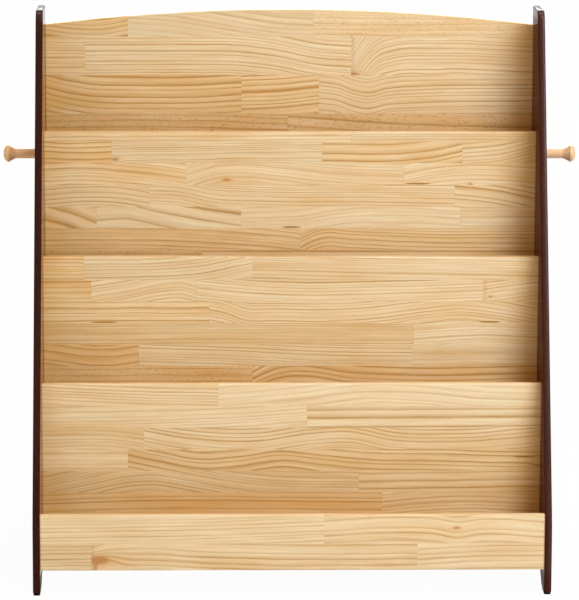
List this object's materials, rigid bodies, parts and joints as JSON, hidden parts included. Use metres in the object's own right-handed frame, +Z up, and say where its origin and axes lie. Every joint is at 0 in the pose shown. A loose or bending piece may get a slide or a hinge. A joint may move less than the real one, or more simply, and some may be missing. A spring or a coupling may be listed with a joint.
{
  "type": "kids bookcase",
  "caption": "Front-display bookcase for a child's room: upright pine boards stepped between raked dark side panels make book pockets, with a turned peg on each side.",
  "frame": {"origin": "on the floor under the middle of the bookcase's box", "axes": "+X to the viewer's right seen from the front, +Y to the back, +Z up"},
  "size_m": [0.7946, 0.3, 0.77],
  "materials": {
    "pine": "finger-jointed edge-glued pine, clear satin lacquer",
    "dark_stain": "dark brown stain under satin lacquer",
    "beech": "turned beech, clear lacquer",
    "pad": "matt black",
    "bolt_steel": "dark bronze plating, satin"
  },
  "bodies": {
    "root": {"left_side_panel": "dark_stain", "right_side_panel": "dark_stain", "front_lip": "pine", "lower_tier_board": "pine", "middle_tier_board": "pine", "upper_tier_board": "pine", "back_board": "pine", "bottom_shelf": "pine", "middle_shelf": "pine", "upper_shelf": "pine", "top_shelf": "pine", "left_peg": "beech", "right_peg": "beech", "left_front_foot_pad": "pad", "left_rear_foot_pad": "pad", "right_front_foot_pad": "pad", "right_rear_foot_pad": "pad", "left_front_lip_bolt_1": "bolt_steel", "left_front_lip_bolt_2": "bolt_steel", "left_lower_tier_board_bolt_1": "bolt_steel", "left_lower_tier_board_bolt_2": "bolt_steel", "left_middle_tier_board_bolt_1": "bolt_steel", "left_middle_tier_board_bolt_2": "bolt_steel", "left_upper_tier_board_bolt_1": "bolt_steel", "left_upper_tier_board_bolt_2": "bolt_steel", "left_back_board_bolt_1": "bolt_steel", "left_back_board_bolt_2": "bolt_steel", "left_bottom_shelf_bolt_1": "bolt_steel", "left_middle_shelf_bolt_1": "bolt_steel", "left_upper_shelf_bolt_1": "bolt_steel", "left_top_shelf_bolt_1": "bolt_steel", "right_front_lip_bolt_1": "bolt_steel", "right_front_lip_bolt_2": "bolt_steel", "right_lower_tier_board_bolt_1": "bolt_steel", "right_lower_tier_board_bolt_2": "bolt_steel", "right_middle_tier_board_bolt_1": "bolt_steel", "right_middle_tier_board_bolt_2": "bolt_steel", "right_upper_tier_board_bolt_1": "bolt_steel", "right_upper_tier_board_bolt_2": "bolt_steel", "right_back_board_bolt_1": "bolt_steel", "right_back_board_bolt_2": "bolt_steel", "right_bottom_shelf_bolt_1": "bolt_steel", "right_middle_shelf_bolt_1": "bolt_steel", "right_upper_shelf_bolt_1": "bolt_steel", "right_top_shelf_bolt_1": "bolt_steel"}
  },
  "joints": []
}
